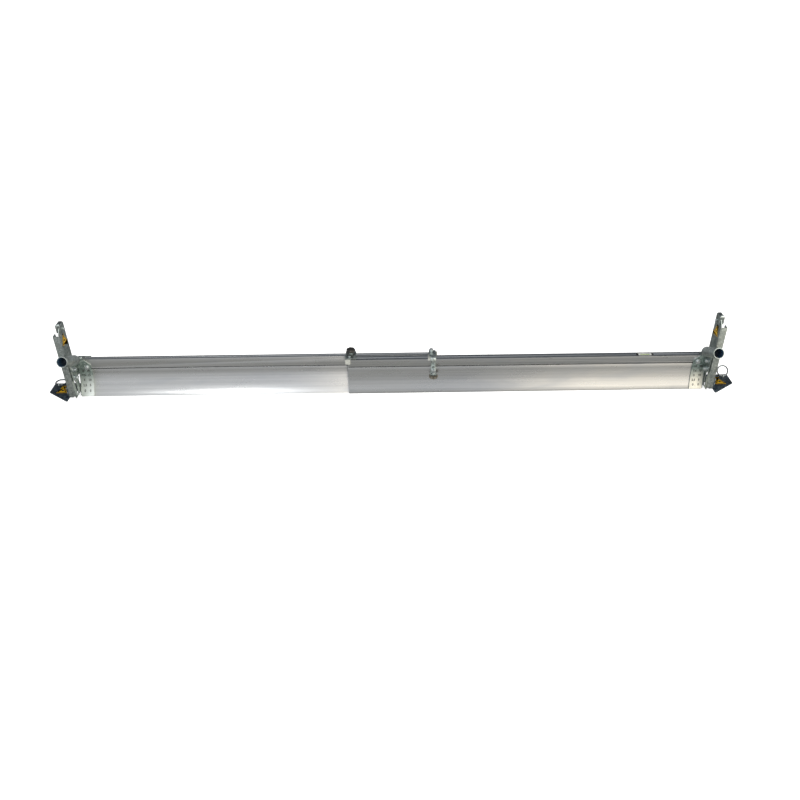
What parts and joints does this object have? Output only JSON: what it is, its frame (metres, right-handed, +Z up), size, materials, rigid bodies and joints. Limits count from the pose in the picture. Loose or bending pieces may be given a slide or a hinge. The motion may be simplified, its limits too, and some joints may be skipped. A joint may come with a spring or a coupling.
{
  "type": "telescopic screed board",
  "caption": "Telescopic screed board: two nested curved aluminium blades with end brackets, handle sockets, sliding posts and kerb shoes.",
  "frame": {"origin": "on the ground at mid length, under the front blade's screeding edge", "axes": "+X along the blades to the user's right, +Y away from the user, +Z up"},
  "size_m": [3.254, 0.3, 0.397],
  "materials": {
    "extruded_aluminium": "mill finish, drawn along its length",
    "galvanised_sheet": "hot-dip galvanised, spangled",
    "zinc_fasteners": "bright zinc plate",
    "zinc_wire": "bright zinc-plated wire",
    "black_end_caps": "moulded polyethylene",
    "white_nylon": "machined nylon",
    "black_knob": "moulded, grained",
    "worn_knob": "moulded, dusty",
    "yellow_labels": "printed vinyl with a dark border",
    "level_housing": "white moulded body with black ends",
    "level_vial": "clear acrylic with green liquid"
  },
  "bodies": {
    "rear_section": {"rear_blade": "extruded_aluminium", "rear_blade_cap": "black_end_caps", "rear_blade_glide": "white_nylon", "left_scale_plate": "galvanised_sheet", "left_side_plate": "galvanised_sheet", "left_handle_tube": "galvanised_sheet", "left_blade_bolts": "zinc_fasteners", "left_blade_washers": "zinc_fasteners", "left_clamp_bolts": "zinc_fasteners", "left_clamp_nuts": "zinc_fasteners", "left_clamp_washers": "zinc_fasteners", "rear_clamp_bracket": "galvanised_sheet", "rear_clamp_bolt": "zinc_fasteners", "rear_clamp_spacer": "zinc_fasteners", "rear_clamp_pad": "white_nylon", "rear_clamp_jaw": "zinc_fasteners", "rear_clamp_nut": "zinc_fasteners"},
    "rear_knob": {"rear_clamp_screw": "zinc_fasteners", "rear_clamp_knob": "worn_knob"},
    "front_section": {"front_blade": "extruded_aluminium", "front_blade_cap": "black_end_caps", "front_blade_glide": "white_nylon", "right_scale_plate": "galvanised_sheet", "right_side_plate": "galvanised_sheet", "right_handle_tube": "galvanised_sheet", "right_blade_bolts": "zinc_fasteners", "right_blade_washers": "zinc_fasteners", "right_clamp_bolts": "zinc_fasteners", "right_clamp_nuts": "zinc_fasteners", "right_clamp_washers": "zinc_fasteners", "front_clamp_bracket": "galvanised_sheet", "front_clamp_bolt": "zinc_fasteners", "front_clamp_nut": "zinc_fasteners", "level_housing": "level_housing", "level_vial": "level_vial"},
    "front_knob": {"front_clamp_screw": "zinc_fasteners", "front_clamp_knob": "black_knob"},
    "left_post": {"left_post": "galvanised_sheet", "left_shoe": "galvanised_sheet", "left_pull_grip": "galvanised_sheet", "left_grip_fasteners": "zinc_fasteners", "left_shoe_fasteners": "zinc_fasteners", "left_ring_eye": "galvanised_sheet", "left_post_label": "yellow_labels", "left_shoe_label": "yellow_labels"},
    "left_ring": {"left_pull_ring": "zinc_wire"},
    "right_post": {"right_post": "galvanised_sheet", "right_shoe": "galvanised_sheet", "right_pull_grip": "galvanised_sheet", "right_grip_fasteners": "zinc_fasteners", "right_shoe_fasteners": "zinc_fasteners", "right_ring_eye": "galvanised_sheet", "right_post_label": "yellow_labels", "right_shoe_label": "yellow_labels"},
    "right_ring": {"right_pull_ring": "zinc_wire"}
  },
  "joints": [
    {"name": "telescope", "type": "slide", "parent": "rear_section", "child": "front_section", "axis": [1, 0, 0], "range_m": [-1.18, 0]},
    {"name": "left_post_slide", "type": "slide", "parent": "rear_section", "child": "left_post", "axis": [0, 0, 1], "range_m": [0, 0.085]},
    {"name": "right_post_slide", "type": "slide", "parent": "front_section", "child": "right_post", "axis": [0, 0, 1], "range_m": [0, 0.085]},
    {"name": "left_ring_swing", "type": "hinge", "parent": "left_post", "child": "left_ring", "pos_m": [-1.598, 0.09625, 0.0095], "axis": [1, 0, 0], "range_deg": [0, 180]},
    {"name": "right_ring_swing", "type": "hinge", "parent": "right_post", "child": "right_ring", "pos_m": [1.598, 0.09625, 0.0095], "axis": [1, 0, 0], "range_deg": [-57, 123]},
    {"name": "front_knob_turn", "type": "hinge", "parent": "front_section", "child": "front_knob", "pos_m": [-0.189, 0.0675, 0.2], "axis": [0, 0, 1], "continuous": true},
    {"name": "rear_knob_turn", "type": "hinge", "parent": "rear_section", "child": "rear_knob", "pos_m": [0.1935, -0.0095, 0.09], "axis": [0, 0, 1], "continuous": true}
  ]
}
